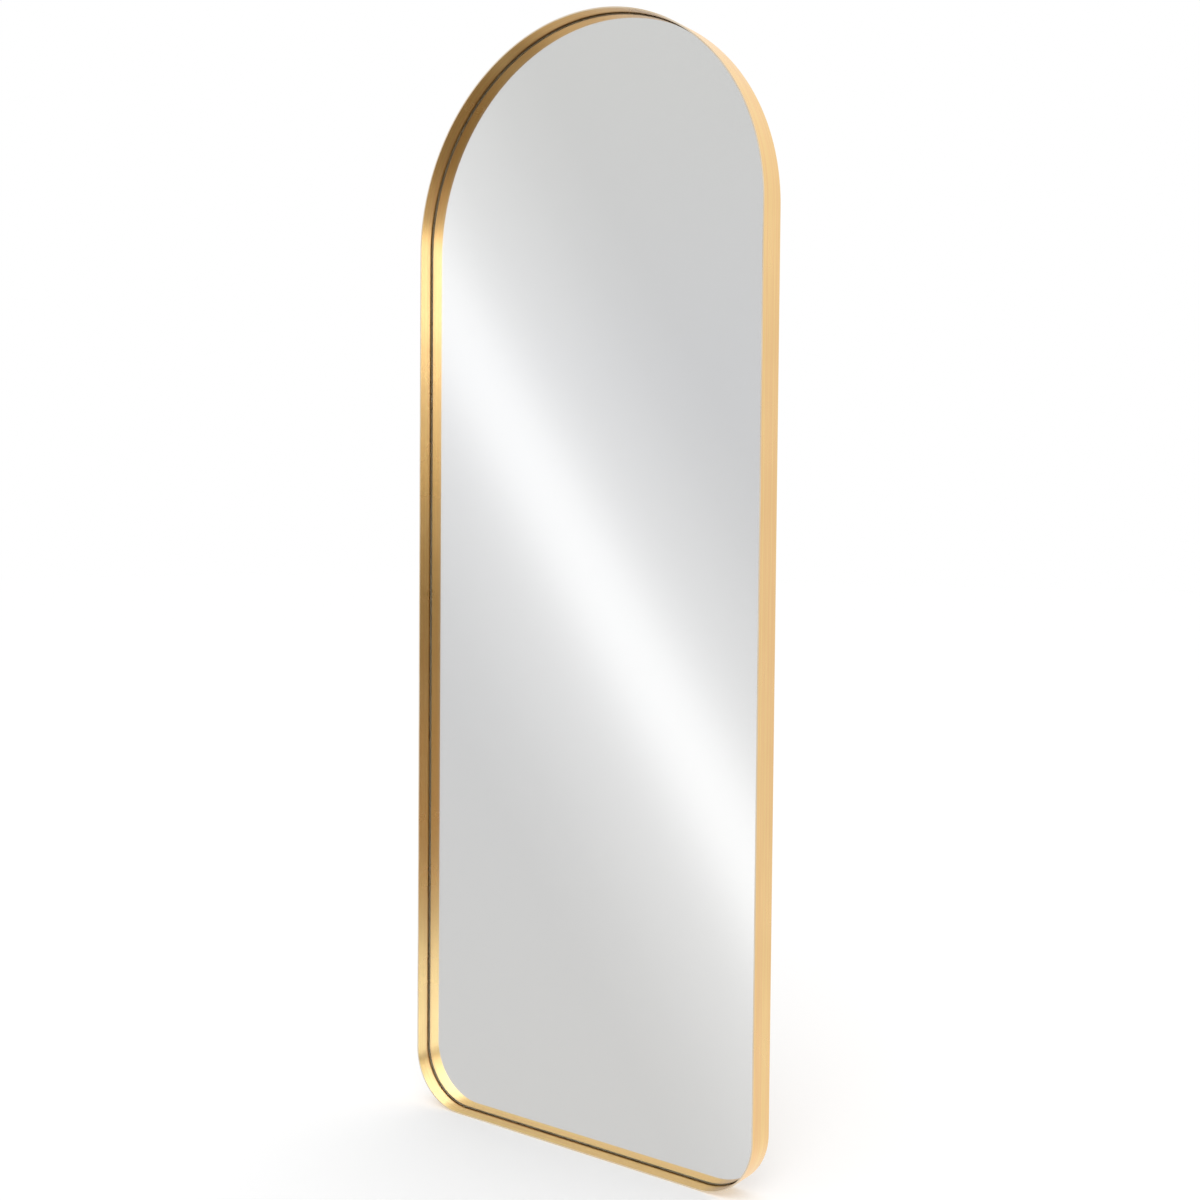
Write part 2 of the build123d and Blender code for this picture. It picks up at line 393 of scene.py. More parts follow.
def grained(name, scale, dark, light, smooth, rough, depth, **sockets):
    """A material with the grain in its object's own coordinates. Returns it, its place and colour sockets."""
    material, _, links, shader = material_with(name, **sockets)
    place = add_node(material.node_tree, "TexCoord")
    node = add_node(material.node_tree, "Group", node_tree=grain)
    links.new(place.outputs["Object"], node.inputs["Vector"])
    for socket, value in (
        ("Scale", scale), ("Dark", (*dark, 1)), ("Light", (*light, 1)),
        ("Smooth", smooth), ("Rough", rough), ("Depth", depth),
    ):
        node.inputs[socket].default_value = value
    links.new(node.outputs["Colour"], shader.inputs["Base Color"])
    links.new(node.outputs["Roughness"], shader.inputs["Roughness"])
    links.new(node.outputs["Normal"], shader.inputs["Normal"])
    return material, place.outputs["Object"], node.outputs["Colour"]


# Clear glass has no colour of its own: the grain is only a trace of wiping in how sharply it mirrors
clear_glass, _, clear_links, clear_shader = material_with(
    "polished_glass", Roughness=0.0, IOR=1.52, Transmission_Weight=1.0, Base_Color=(0.998, 1.0, 0.9985, 1)
)
clear_place = add_node(clear_glass.node_tree, "TexCoord")
clear_wiping = add_node(clear_glass.node_tree, "Group", node_tree=grain)
clear_wiping.inputs["Scale"].default_value = 9
clear_wiping.inputs["Smooth"].default_value = 0.0
clear_wiping.inputs["Rough"].default_value = 0.012
clear_links.new(clear_place.outputs["Object"], clear_wiping.inputs["Vector"])
clear_links.new(clear_wiping.outputs["Roughness"], clear_shader.inputs["Roughness"])
# The ground edge is tinted gold-brown: a painted reflection of the gold band round it
ground_edge_painted_gold, _, _ = grained(
    "ground_edge_painted_gold_reflection", 1200, (0.42, 0.325, 0.2), (0.52, 0.41, 0.26), 0.45, 0.65, 0.00001, IOR=1.52
)


def sheet_in_outline(inset, front, thickness):
    """A flat sheet with the band's outline, moved in by inset. Returns the shape with its face and back."""
    shape = bmesh.new()
    start = shape.verts.new((0, front, inset))
    run_along(shape, [start], way_round)
    bmesh.ops.remove_doubles(shape, verts=list(shape.verts), dist=1e-5)
    face = bmesh.ops.contextual_create(shape, geom=list(shape.edges))["faces"][0]
    grown = bmesh.ops.extrude_face_region(shape, geom=[face], use_keep_orig=True)["geom"]
    moved = [part for part in grown if isinstance(part, bmesh.types.BMVert)]
    bmesh.ops.translate(shape, verts=moved, vec=(0, thickness, 0))
    bmesh.ops.recalc_face_normals(shape, faces=list(shape.faces))
    return shape


glass_shape = sheet_in_outline(glass_inset, glass_front, glass_thickness)
rims = [edge for edge in glass_shape.edges if edge.calc_face_angle(0) > radians(60)]
bmesh.ops.bevel(
    glass_shape, geom=rims, offset=glass_arris, offset_type="OFFSET", affect="EDGES", segments=1,
    profile=0.5, material=-1,
)
for face in glass_shape.faces:
    face.material_index = 0 if abs(face.normal.y) > 0.99 else 1
mark_sharp(glass_shape, radians(10))
glass = as_piece(glass_shape, "mirror_glass_sheet", clear_glass, ground_edge_painted_gold)
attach(glass, "mirror")
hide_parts("mirror_glass")


# The silver. It lies on the back of the glass inside the ground edge, under copper, paint and a safety film,
# all in one skin 0.2 mm thick. It starts a hair behind the glass here, so that the faces don't share a plane.
hair_gap = 0.00003
skin_thickness = 0.0002
silver_front = glass_front + glass_thickness + hair_gap

silver, _, _ = grained(
    "silver_layer", 3, (0.962, 0.962, 0.962), (0.968, 0.968, 0.968), 0.0, 0.01, 0.0, Metallic=1.0
)
film, _, _ = grained("safety_film", 40, (0.27, 0.29, 0.31), (0.33, 0.35, 0.37), 0.4, 0.6, 0.00003)
silver_shape = sheet_in_outline(glass_inset + glass_arris, silver_front, skin_thickness - hair_gap)
for face in silver_shape.faces:
    face.material_index = 0 if face.normal.y < -0.99 else 1
mark_sharp(silver_shape, radians(10))
silver_sheet = as_piece(silver_shape, "silvering_sheet", silver, film)
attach(silver_sheet, "mirror")
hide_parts("silver_coat")


# The edge strip. Thin black rubber, stuck round the edges of glass and board, which keeps them off the band.
# From the front it is the dark line between gold and glass.
strip_insets = (0.0023, 0.00295)
strip_depths = (-0.0195, -0.009)
strip_round = 0.0002

rubber, _, _ = grained("black_rubber", 1400, (0.03, 0.026, 0.021), (0.055, 0.047, 0.038), 0.65, 0.95, 0.00004)
edge_shape = bmesh.new()
edge_section = strip_section(edge_shape, strip_insets, strip_depths, strip_round, 3, strip_round, 3)
run_along(edge_shape, edge_section, way_round)
close_and_face_out(edge_shape)
mark_sharp(edge_shape, radians(40))
rubber_edge = as_piece(edge_shape, "rubber_edge", rubber)
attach(rubber_edge, "mirror")
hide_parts("edge_strip")


# The adhesive strips. Five strips of black double-sided tape hold the glass to the board, each a soft core
# between two thin skins of adhesive. They run up the board side by side, and nobody sees them once it is glued.
adhesive_skin = 0.0001
tape_waist = 0.00012


def bevel_rims(shape, offset, segments, least=radians(50)):
    """Rounds the shape's sharp edges."""
    rims = [edge for edge in shape.edges if edge.is_manifold and edge.calc_face_angle(0) > least]
    bmesh.ops.bevel(
        shape, geom=rims, offset=offset, offset_type="OFFSET", affect="EDGES", segments=segments, profile=0.5,
        material=-1,
    )


for number in range(1, 6):
    tape_low, tape_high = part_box(f"tape_strip_{number}")
    tape_shape = bmesh.new()
    layers = (
        (tape_low.y, 0),
        (tape_low.y + adhesive_skin, tape_waist),
        (tape_high.y - adhesive_skin, tape_waist),
        (tape_high.y, 0),
    )
    rings = []
    for y, waist in layers:
        corners = [
            tape_shape.verts.new((x, y, z))
            for x, z in (
                (tape_low.x + waist, tape_low.z + waist),
                (tape_high.x - waist, tape_low.z + waist),
                (tape_high.x - waist, tape_high.z - waist),
                (tape_low.x + waist, tape_high.z - waist),
            )
        ]
        rings.append([tape_shape.edges.new((corners[n], corners[n - 1])) for n in range(4)])
    for ring, following in zip(rings, rings[1:]):
        bmesh.ops.bridge_loops(tape_shape, edges=ring + following)
    for ring in (rings[0], rings[-1]):
        bmesh.ops.contextual_create(tape_shape, geom=ring)
    bmesh.ops.recalc_face_normals(tape_shape, faces=list(tape_shape.faces))
    mark_sharp(tape_shape, radians(20))
    tape = as_piece(tape_shape, f"adhesive_tape_{number}", rubber)
    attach(tape, "mirror")
    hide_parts(f"tape_strip_{number}")


# The board. Fibreboard, 9 mm, sanded on its two faces; its sawn edges and the pilot holes are darker and furry.
board_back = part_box("backing_board")[1].y

fibreboard, board_place, board_fibres = grained(
    "fibreboard", 1500, (0.39, 0.265, 0.155), (0.53, 0.395, 0.25), 0.7, 0.9, 0.00005, Specular_IOR_Level=0.3
)
board_tree = fibreboard.node_tree
board_links = board_tree.links
board_clouds = add_node(board_tree, "TexNoise")
board_clouds.inputs["Scale"].default_value = 7
board_clouds.inputs["Detail"].default_value = 4
board_links.new(board_place, board_clouds.inputs["Vector"])
board_flecks = add_node(board_tree, "TexVoronoi")
board_flecks.inputs["Scale"].default_value = 260
board_links.new(board_place, board_flecks.inputs["Vector"])
cloud_shade = remap(board_tree, board_clouds.outputs["Fac"], noise_low, noise_high, 0.86, 1.06)
board_colour = add_node(board_tree, "Mix", data_type="RGBA", blend_type="MULTIPLY")
board_colour.inputs["Factor"].default_value = 1
board_links.new(board_fibres, board_colour.inputs["A"])
board_links.new(cloud_shade, board_colour.inputs["B"])
fleck_mask = add_node(board_tree, "ValToRGB")
set_ramp(fleck_mask, [(0.0, 0.55), (0.16, 0.0)])
board_links.new(board_flecks.outputs["Distance"], fleck_mask.inputs["Fac"])
flecked = add_node(board_tree, "Mix", data_type="RGBA")
flecked.inputs["B"].default_value = (0.24, 0.14, 0.075, 1)
board_links.new(fleck_mask.outputs["Color"], flecked.inputs["Factor"])
board_links.new(board_colour.outputs["Result"], flecked.inputs["A"])
# Whatever is more than a hair in front of the back face is a sawn edge, a hole or the glued side
board_depth = add_node(board_tree, "SeparateXYZ")
board_links.new(board_place, board_depth.inputs[0])
sawn_mask = add_node(board_tree, "Math", operation="LESS_THAN")
sawn_mask.inputs[1].default_value = board_back - 0.0001
board_links.new(board_depth.outputs["Y"], sawn_mask.inputs[0])
board_sawn = add_node(board_tree, "Mix", data_type="RGBA")
board_sawn.inputs["B"].default_value = (0.25, 0.15, 0.08, 1)
board_links.new(sawn_mask.outputs[0], board_sawn.inputs["Factor"])
board_links.new(flecked.outputs["Result"], board_sawn.inputs["A"])
board_links.new(board_sawn.outputs["Result"], board_tree.nodes["Principled BSDF"].inputs["Base Color"])
nodes["backing_board"].material_slots[0].material = fibreboard


# The tabs. Bent strips of steel, welded inside the band before it is coated, and screwed to the back of the
# board, with the plate over the band's butt joint. They have the coat's colour but were never brushed.
coated, _, _ = grained(
    "coated_steel", 420, (0.66, 0.43, 0.18), (0.8, 0.55, 0.25), 0.34, 0.52, 0.00004, Metallic=1.0
)
for name, node in nodes.items():
    if name.startswith("board_tab") or name == "seam_plate":
        node.material_slots[0].material = coated

# Each place is a point on the inside of the band, and the way inwards from there
tab_wall = half_width - band_thickness
tab_half_width = 0.01
tab_places = []
for angle in (pi / 6, pi / 2, 5 * pi / 6):
    outwards = Vector((cos(angle), 0, sin(angle)))
    reach = (tab_wall ** 2 - tab_half_width ** 2) ** 0.5
    tab_places.append((Vector((0, 0, arch_height)) + outwards * reach, -outwards))
for side in (-1, 1):
    for tab_height in (0.95, 0.35):
        tab_places.append((Vector((side * tab_wall, 0, tab_height)), Vector((-side, 0, 0))))
    tab_places.append((Vector((side * 0.11, 0, band_thickness)), Vector((0, 0, 1))))


# The weld seams. A rippled bead closes the free edge of every tab against the band, and two short ones hold
# each end of the joint plate.
ripple_length = 0.0016
ripple_waist = 0.74
bead_end = 0.45


def weld_bead(shape, start, end, radius):
    """A bead from start to end, of rings that wax and wane, closed at its two ends."""
    way = end - start
    ripples = max(3, round(way.length / ripple_length))
    turn = way.to_track_quat("Z", "Y").to_matrix().to_4x4()
    rings = []
    for step in range(2 * ripples + 1):
        size = radius * (ripple_waist if step % 2 else 1.0)
        if step in (0, 2 * ripples):
            size = radius * bead_end
        place = Matrix.Translation(start + way * (step / (2 * ripples))) @ turn
        ring = bmesh.ops.create_circle(shape, segments=10, radius=size, matrix=place)["verts"]
        rings.append(list({edge for vert in ring for edge in vert.link_edges}))
    for ring, following in zip(rings, rings[1:]):
        bmesh.ops.bridge_loops(shape, edges=ring + following)
    for ring in (rings[0], rings[-1]):
        bmesh.ops.contextual_create(shape, geom=ring)


bead_shape = bmesh.new()
leg_end = -0.0015
bead_rise = 0.0003
bead_half_length = 0.0075
for wall_point, inwards in tab_places:
    along = inwards.cross(Vector((0, 1, 0))) * bead_half_length
    seat = wall_point + Vector((0, leg_end, 0)) + inwards * bead_rise
    weld_bead(bead_shape, seat - along, seat + along, 0.001)
plate_half_length = 0.04
plate_bead_depths = (-0.0055, -0.0015)
plate_bead_rise = 0.0004
for side in (-1, 1):
    for depth in plate_bead_depths:
        seat = Vector((side * plate_half_length, depth, band_thickness + plate_bead_rise))
        weld_bead(bead_shape, seat - Vector((0, 0.0005, 0)), seat + Vector((side * 0.0002, 0.0008, 0)), 0.0009)
bmesh.ops.recalc_face_normals(bead_shape, faces=list(bead_shape.faces))
mark_sharp(bead_shape, radians(70))
weld_beads = as_piece(bead_shape, "weld_seams", coated)
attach(weld_beads, "mirror")


# The screws. Pan heads with a cross recess, zinc plated, the same for the tabs and the hangers.
screw_head_radius = 0.00375
screw_head_height = 0.0022

zinc, _, _ = grained(
    "zinc_plate", 160, (0.42, 0.43, 0.45), (0.6, 0.61, 0.62), 0.24, 0.42, 0.00002, Metallic=1.0
)


def turned(shape, profile, steps):
    """Turns a profile of (radius, height) points about the Z axis."""
    verts = [shape.verts.new((radius, 0, height)) for radius, height in profile]
    edges = [shape.edges.new(pair) for pair in zip(verts, verts[1:])]
    bmesh.ops.spin(
        shape, geom=verts + edges, cent=(0, 0, 0), axis=(0, 0, 1), angle=2 * pi, steps=steps, use_merge=True
    )
    bmesh.ops.remove_doubles(shape, verts=list(shape.verts), dist=1e-6)
    bmesh.ops.recalc_face_normals(shape, faces=list(shape.faces))


screw_dome = radians(62)
screw_rim = 0.0009
screw_profile = [(0, screw_head_height)]
for step in range(1, 9):
    turn = step / 8 * screw_dome
    rise = (cos(turn) - cos(screw_dome)) / (1 - cos(screw_dome))
    out = 0.97 * screw_head_radius * sin(turn) / sin(screw_dome)
    screw_profile.append((out, screw_rim + (screw_head_height - screw_rim) * rise))
screw_profile += [(screw_head_radius, 0.0006), (screw_head_radius, 0.0002), (screw_head_radius - 0.0002, 0)]
shank_radius = 0.00165
thread_root = 0.00125
thread_crest = 0.0016
thread_pitch = 0.0013
thread_start = -0.0026
screw_profile += [(shank_radius, 0), (shank_radius, thread_start)]
for turn in range(4):
    top = thread_start - turn * thread_pitch
    screw_profile += [(thread_root, top - 0.0003), (thread_crest, top - 0.0007), (thread_root, top - 0.0011)]
screw_profile += [(0.0004, -0.0088), (0, -0.0089)]
screw_shape = bmesh.new()
turned(screw_shape, screw_profile, 32)
mark_sharp(screw_shape, radians(35))
screw = as_piece(screw_shape, "screw_pattern", zinc)

# The cross recess is cut by two wings that taper downwards
recess_reach = 0.0021
recess_floor_reach = 0.0008
recess_floor = 0.0006
recess_shoulder = 0.0019
recess_top = 0.003
recess_width = 0.0008
recess_outline = (
    (-recess_reach, recess_top),
    (-recess_reach, recess_shoulder),
    (-recess_floor_reach, recess_floor),
    (recess_floor_reach, recess_floor),
    (recess_reach, recess_shoulder),
    (recess_reach, recess_top),
)
for turn in (0, pi / 2):
    wing_shape = bmesh.new()
    face = wing_shape.faces.new([wing_shape.verts.new((x, -recess_width / 2, z)) for x, z in recess_outline])
    grown = bmesh.ops.extrude_face_region(wing_shape, geom=[face], use_keep_orig=True)["geom"]
    moved = [part for part in grown if isinstance(part, bmesh.types.BMVert)]
    bmesh.ops.translate(wing_shape, verts=moved, vec=(0, recess_width, 0))
    turned_wing = Matrix.Rotation(turn, 3, "Z")
    bmesh.ops.rotate(wing_shape, verts=list(wing_shape.verts), cent=(0, 0, 0), matrix=turned_wing)
    bmesh.ops.recalc_face_normals(wing_shape, faces=list(wing_shape.faces))
    wing = as_piece(wing_shape, "recess_pattern", zinc)
    cut = screw.modifiers.new("recess", "BOOLEAN")
    cut.operation = "DIFFERENCE"
    cut.solver = "EXACT"
    cut.object = wing
    settled = screw.evaluated_get(bpy.context.evaluated_depsgraph_get())
    recessed = bpy.data.meshes.new_from_object(settled)
    screw.modifiers.clear()
    screw.data = recessed
    bpy.data.objects.remove(wing)
# The two cuts leave double and spare points where they cross
screw_shape = bmesh.new()
screw_shape.from_mesh(screw.data)
bmesh.ops.remove_doubles(screw_shape, verts=list(screw_shape.verts), dist=5e-6)
spare_points = [vert for vert in screw_shape.verts if len(vert.link_edges) == 2]
bmesh.ops.dissolve_verts(screw_shape, verts=spare_points)
screw_shape.to_mesh(screw.data)
screw_shape.free()


def set_screws(name, seats, node):
    """Puts a screw on each seat, a place and a turn of its recess, all in one piece."""
    shape = bmesh.new()
    to_wall = Matrix.Rotation(-pi / 2, 4, "X")
    for place, turn in seats:
        known = len(shape.verts)
        shape.from_mesh(screw.data)
        shape.verts.ensure_lookup_table()
        matrix = Matrix.Translation(place) @ to_wall @ Matrix.Rotation(turn, 4, "Z")
        bmesh.ops.transform(shape, verts=shape.verts[known:], matrix=matrix)
    mark_sharp(shape, radians(35))
    piece = as_piece(shape, name, zinc)
    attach(piece, "mirror")
    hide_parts(node)


# Each screw stopped at another turn than the one before it
turn_between = 1.13
tab_sheet = 0.0015
tab_hole_reach = 0.011
tab_seats = []
for number, (wall_point, inwards) in enumerate(tab_places):
    place = wall_point + inwards * tab_hole_reach + Vector((0, board_back + tab_sheet, 0))
    tab_seats.append((place, number * turn_between))
set_screws("tab_screw_set", tab_seats, "tab_screws")


# The hangers. Each is a strip folded round the bar of a D-shaped ring, and screwed to the board through both
# its layers. The strap is the CAD one in zinc. The ring is drawn anew, of round wire with smooth bends.
ring_places = {"left": Vector((-0.21, -0.0042, 1.25)), "right": Vector((0.21, -0.0042, 1.25))}
hanger_seats = []
strap_sheet = 0.0012
strap_back = board_back + 2 * strap_sheet + 0.0001
# How far below the eye each hole lies, and the turn of its screw
strap_holes = ((0.013, 0.4), (0.033, 1.7))
wire_radius = 0.0015
ring_half_width = 0.0115
ring_height = 0.02
ring_bend = 0.0025
ring_gap = 0.0004
ring_lean = radians(2.8)
ring_way = [
    {"travel": Vector((ring_half_width - ring_bend - ring_gap / 2, 0, 0)), "steps": 1},
    {"centre": Vector((ring_half_width - ring_bend, 0, ring_bend)), "angle": pi / 2, "steps": 8},
    {"travel": Vector((0, 0, ring_height - ring_half_width - ring_bend)), "steps": 1},
    {"centre": Vector((0, 0, ring_height - ring_half_width)), "angle": pi, "steps": 28},
    {"travel": Vector((0, 0, ring_half_width + ring_bend - ring_height)), "steps": 1},
    {"centre": Vector((ring_bend - ring_half_width, 0, ring_bend)), "angle": pi / 2, "steps": 8},
    {"travel": Vector((ring_half_width - ring_bend - ring_gap / 2, 0, 0)), "steps": 1},
]
for side, centre in ring_places.items():
    nodes[f"hanger_strap_{side}"].material_slots[0].material = zinc
    for below, turn in strap_holes:
        hanger_seats.append((Vector((centre.x, strap_back, centre.z - below)), turn + centre.x))
    ring_shape = bmesh.new()
    place = Matrix.Translation((ring_gap / 2, 0, 0)) @ Matrix.Rotation(pi / 2, 4, "Y")
    start = bmesh.ops.create_circle(ring_shape, segments=20, radius=wire_radius, matrix=place)["verts"]
    first_edges = list({edge for vert in start for edge in vert.link_edges})
    last = run_along(ring_shape, start + first_edges, ring_way)
    for end in (first_edges, [part for part in last if isinstance(part, bmesh.types.BMEdge)]):
        bmesh.ops.contextual_create(ring_shape, geom=end)
    bmesh.ops.recalc_face_normals(ring_shape, faces=list(ring_shape.faces))
    bevel_rims(ring_shape, 0.00015, 2)
    lean = Matrix.Rotation(ring_lean, 4, "X")
    bmesh.ops.transform(ring_shape, verts=list(ring_shape.verts), matrix=Matrix.Translation(centre) @ lean)
    mark_sharp(ring_shape, radians(40))
    ring = as_piece(ring_shape, f"wire_ring_{side}", zinc)
    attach(ring, f"{side}_ring")
    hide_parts(f"hanger_ring_{side}")
set_screws("hanger_screw_set", hanger_seats, "hanger_screws")
bpy.data.objects.remove(screw)


# The studio. A plain pale floor, white all round to the eye. The mirror and the metal see a grey room with
# soft white panels in it.
floor_shape = bmesh.new()
bmesh.ops.create_grid(floor_shape, x_segments=1, y_segments=1, size=30)
bmesh.ops.translate(floor_shape, verts=list(floor_shape.verts), vec=(0, 0, -0.0003))
floor_paint, _, floor_links, floor_shader = material_with(
    "pale_floor", Roughness=0.9, Specular_IOR_Level=0.0, Base_Color=(0.8, 0.8, 0.8, 1)
)
floor_path = add_node(floor_paint.node_tree, "LightPath")
floor_glow = add_node(floor_paint.node_tree, "Math", operation="MULTIPLY")
floor_glow.inputs[1].default_value = 0.25
floor_links.new(floor_path.outputs["Is Camera Ray"], floor_glow.inputs[0])
floor_shader.inputs["Emission Color"].default_value = (1, 1, 1, 1)
floor_links.new(floor_glow.outputs[0], floor_shader.inputs["Emission Strength"])
floor = as_piece(floor_shape, "floor", floor_paint)
floor.visible_glossy = False
floor.visible_transmission = False

world = bpy.data.worlds.new("studio")
bpy.context.scene.world = world
world.use_nodes = True
world.cycles.sampling_method = "NONE"
sky = world.node_tree
sky.nodes.clear()
sky_way = add_node(sky, "TexCoord")
sky_parts = add_node(sky, "SeparateXYZ")
sky.links.new(sky_way.outputs["Generated"], sky_parts.inputs[0])


def sky_math(operation, first, second=None, third=None):
    """A sum on two numbers or sockets of the sky."""
    node = add_node(sky, "Math", operation=operation)
    for number, value in enumerate((first, second, third)):
        if isinstance(value, (int, float)):
            node.inputs[number].default_value = value
        elif value is not None:
            sky.links.new(value, node.inputs[number])
    return node.outputs[0]


def sky_ramp(value, stops, interpolation="LINEAR"):
    """Light by a number from -1 to 1. Stops are (number, grey or colour), as bright as 4 at most."""
    half = sky_math("MULTIPLY_ADD", value, 0.5, 0.5)
    node = add_node(sky, "ValToRGB")
    shares = [(place / 2 + 0.5, tuple(part / 4 for part in light)) for place, light in stops]
    set_ramp(node, shares, interpolation)
    sky.links.new(half, node.inputs["Fac"])
    scaled = add_node(sky, "VectorMath", operation="SCALE")
    sky.links.new(node.outputs["Color"], scaled.inputs[0])
    scaled.inputs["Scale"].default_value = 4
    return scaled.outputs["Vector"]


def sky_blend(factor, first, second):
    """The first light at 0 and the second at 1."""
    node = add_node(sky, "Mix", data_type="RGBA")
    for socket, value in (("Factor", factor), ("A", first), ("B", second)):
        if isinstance(value, bpy.types.NodeSocket):
            sky.links.new(value, node.inputs[socket])
        else:
            node.inputs[socket].default_value = value
    return node.outputs["Result"]


def sky_step(value, low, high):
    """0 below low, 1 above high, and smooth between them."""
    return remap(sky, value, low, high, interpolation_type="SMOOTHSTEP")


def grey(value):
    """A grey light."""
    return (value, value, value)


sky_x, sky_y, sky_z = sky_parts.outputs

# What the mirror sees in front of it: a grey room with a long slanting panel, and others beside it
panel_normal = (0.6984, -0.5168, 0.4951)
panel_dot = add_node(sky, "VectorMath", operation="DOT_PRODUCT")
sky.links.new(sky_way.outputs["Generated"], panel_dot.inputs[0])
panel_dot.inputs[1].default_value = panel_normal
panel_offset = sky_math("ADD", panel_dot.outputs["Value"], 0.018)
panel_place = sky_math("ABSOLUTE", sky_math("WRAP", panel_offset, 0.25, -0.25))
mirror_room = sky_ramp(
    panel_place,
    [
        (0.0, grey(1.04)), (0.012, grey(1.02)), (0.02, grey(0.97)), (0.031, grey(0.895)), (0.042, grey(0.83)),
        (0.056, grey(0.777)), (0.077, grey(0.727)), (0.1, grey(0.675)), (0.13, grey(0.635)),
    ],
)

# What the metal sees by way of the mirror, where the tall card below isn't in the way: a dim warm room
left_room = sky_ramp(
    sky_z,
    [
        (-1.0, (0.4, 0.34, 0.26)), (-0.6, (0.62, 0.56, 0.46)), (-0.36, (0.82, 0.74, 0.6)),
        (-0.12, (0.74, 0.74, 0.78)), (0.12, (0.6, 0.64, 0.78)), (0.3, (0.74, 0.74, 0.62)),
        (0.42, (0.94, 0.94, 0.78)), (0.7, (1.0, 1.0, 0.9)), (1.0, (1.5, 1.5, 1.5)),
    ],
)
right_room = sky_ramp(
    sky_z,
    [
        (-1.0, (0.3, 0.24, 0.15)), (-0.36, (0.27, 0.21, 0.13)), (-0.22, (0.54, 0.42, 0.29)),
        (-0.1, (0.4, 0.31, 0.21)), (-0.04, (0.23, 0.18, 0.12)), (0.0, (0.3, 0.24, 0.16)),
        (0.05, (0.74, 0.64, 0.42)), (0.1, (1.25, 1.2, 1.05)), (0.17, (1.5, 1.6, 1.6)),
        (0.4, (1.8, 2.0, 2.1)), (0.6, (2.0, 2.4, 2.6)), (1.0, (1.6, 1.7, 1.8)),
    ],
)
metal_room = sky_blend(sky_step(sky_x, -0.42, -0.12), left_room, right_room)
back_room = sky_ramp(
    sky_z,
    [(-1.0, grey(1.2)), (-0.38, grey(1.08)), (-0.3, grey(1.0)), (-0.05, grey(0.96)), (0.1, grey(0.98)),
     (0.25, grey(1.06)), (0.55, grey(1.12)), (1.0, grey(1.3))],
)

light_path = add_node(sky, "LightPath")
second_bounce = sky_math("GREATER_THAN", light_path.outputs["Glossy Depth"], 1.5)
front_room = sky_blend(second_bounce, mirror_room, metal_room)
whole_room = sky_blend(sky_step(sky_y, -0.12, 0.3), front_room, back_room)
seen_in_gloss = sky_math(
    "MAXIMUM", light_path.outputs["Is Glossy Ray"], light_path.outputs["Is Transmission Ray"]
)
plain_light = 0.94
plain_or_white = sky_blend(
    light_path.outputs["Is Camera Ray"], (plain_light, plain_light, plain_light, 1), (1, 1, 1, 1)
)
sky_light = add_node(sky, "Background")
sky.links.new(sky_blend(seen_in_gloss, plain_or_white, whole_room), sky_light.inputs["Color"])
sky_out = add_node(sky, "OutputWorld")
sky.links.new(sky_light.outputs[0], sky_out.inputs["Surface"])


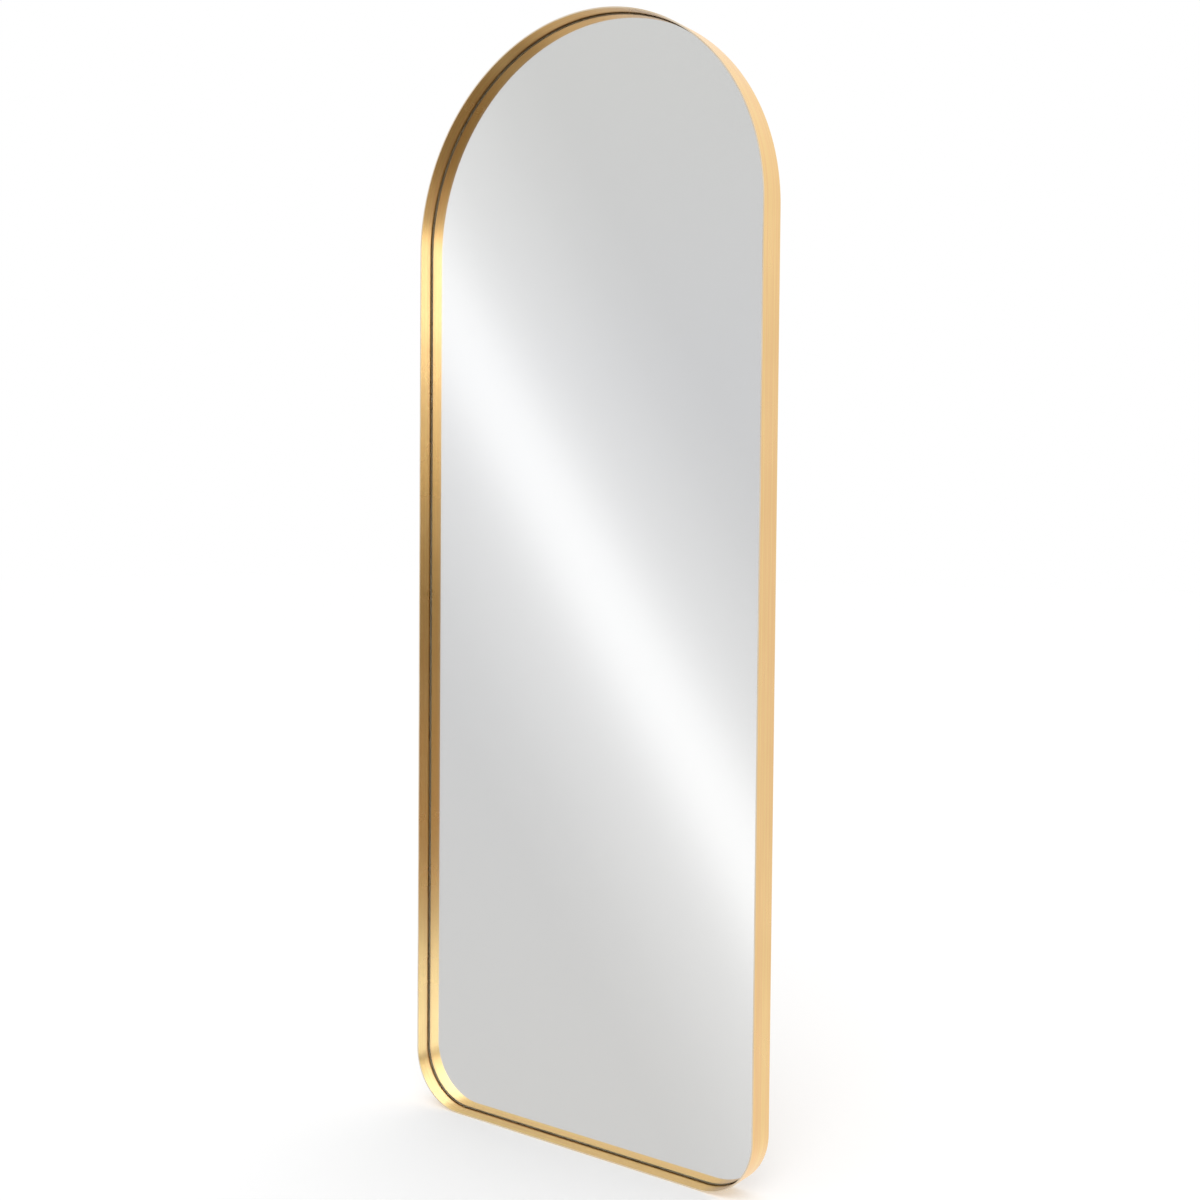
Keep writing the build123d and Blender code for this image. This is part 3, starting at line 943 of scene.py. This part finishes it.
def glow_card(name, distance, side, heights, brightness, light):
    """A soft light that only the metal sees, by way of the mirror. It stands upright off the mirror's left edge
    and adds its light to the room's. Its brightness goes by height, in stops of (share of the height, share),
    and fades out towards its two sides."""
    out = Vector((0.695, -0.719, 0))
    across = Vector((0.719, 0.695, 0))
    middle = Vector((-0.3, -0.03, 0)) + out * distance
    shape = bmesh.new()
    corners = ((-side, heights[0]), (side, heights[0]), (side, heights[1]), (-side, heights[1]))
    sheet = shape.faces.new([shape.verts.new(middle + across * x + Vector((0, 0, z))) for x, z in corners])
    layer = shape.loops.layers.uv.new("glow")
    for loop, share in zip(sheet.loops, ((-1, 0), (1, 0), (1, 1), (-1, 1))):
        loop[layer].uv = share
    paint, paint_nodes, links, shader = material_with(name)
    tree = paint.node_tree
    paint_nodes.remove(shader)
    place = add_node(tree, "UVMap", uv_map="glow")
    parts = add_node(tree, "SeparateXYZ")
    links.new(place.outputs["UV"], parts.inputs[0])
    ramp = add_node(tree, "ValToRGB")
    set_ramp(ramp, brightness, "EASE")
    links.new(parts.outputs["Y"], ramp.inputs["Fac"])
    off_middle = add_node(tree, "Math", operation="ABSOLUTE")
    links.new(parts.outputs["X"], off_middle.inputs[0])
    faded = add_node(tree, "Math", operation="MULTIPLY")
    links.new(ramp.outputs["Color"], faded.inputs[0])
    links.new(remap(tree, off_middle.outputs[0], 1.0, 0.5, interpolation_type="SMOOTHSTEP"), faded.inputs[1])
    path = add_node(tree, "LightPath")
    second = add_node(tree, "Math", operation="GREATER_THAN")
    second.inputs[1].default_value = 1.5
    links.new(path.outputs["Glossy Depth"], second.inputs[0])
    strength = add_node(tree, "Math", operation="MULTIPLY")
    links.new(faded.outputs[0], strength.inputs[0])
    links.new(second.outputs[0], strength.inputs[1])
    glow = add_node(tree, "Emission")
    glow.inputs["Color"].default_value = (*light, 1)
    links.new(strength.outputs[0], glow.inputs["Strength"])
    clear = add_node(tree, "BsdfTransparent")
    both = add_node(tree, "AddShader")
    links.new(glow.outputs[0], both.inputs[0])
    links.new(clear.outputs[0], both.inputs[1])
    links.new(both.outputs[0], paint_nodes["Material Output"].inputs["Surface"])
    paint.cycles.emission_sampling = "NONE"
    card = as_piece(shape, name, paint)
    card.visible_camera = False
    card.visible_diffuse = False
    card.visible_shadow = False


low_glow = [(0, 1), (0.45, 0.85), (0.64, 0.52), (0.82, 0.13), (1, 0)]
high_glow = [(0, 0), (0.25, 1), (0.5, 1), (1, 0)]
glow_card("low_card", 0.8, 0.95, (-0.5, 0.25), low_glow, (1.35, 1.7, 2.0))
glow_card("high_card", 1.0, 1.05, (1.2, 1.8), high_glow, (0.5, 0.5, 0.5))

key = bpy.data.lights.new("soft_lamp", "AREA")
key.shape = "DISK"
key.size = 2.4
key.energy = 30
key_lamp = bpy.data.objects.new("soft_lamp", key)
key_lamp.location = (1.6, -2.4, 3.4)
key_lamp.rotation_euler = (Vector((0, 0, 0.8)) - key_lamp.location).to_track_quat("-Z", "Y").to_euler()
key_lamp.visible_glossy = False
key_lamp.visible_transmission = False
bpy.context.scene.collection.objects.link(key_lamp)


# The camera, a little above the middle of the mirror, well to its right and turned back to it
camera = bpy.data.objects.new("camera", bpy.data.cameras.new("camera"))
camera.data.sensor_width = 36
camera.data.lens = 43.787
camera.data.clip_start = 0.01
camera.data.clip_end = 200
bpy.context.scene.collection.objects.link(camera)
bpy.context.scene.camera = camera
camera_turn, camera_tilt, camera_roll = 0.6412, -0.0363, 0.0084
forwards = Vector(
    (-sin(camera_turn) * cos(camera_tilt), cos(camera_turn) * cos(camera_tilt), sin(camera_tilt))
)
level_right = Vector((cos(camera_turn), sin(camera_turn), 0))
level_up = level_right.cross(forwards)
camera_right = cos(camera_roll) * level_right + sin(camera_roll) * level_up
camera_up = -sin(camera_roll) * level_right + cos(camera_roll) * level_up
camera.matrix_world = Matrix.Translation((1.25508, -1.66291, 0.85838)) @ Matrix(
    (camera_right, camera_up, -forwards)
).transposed().to_4x4()
bpy.context.scene.view_settings.view_transform = "Standard"
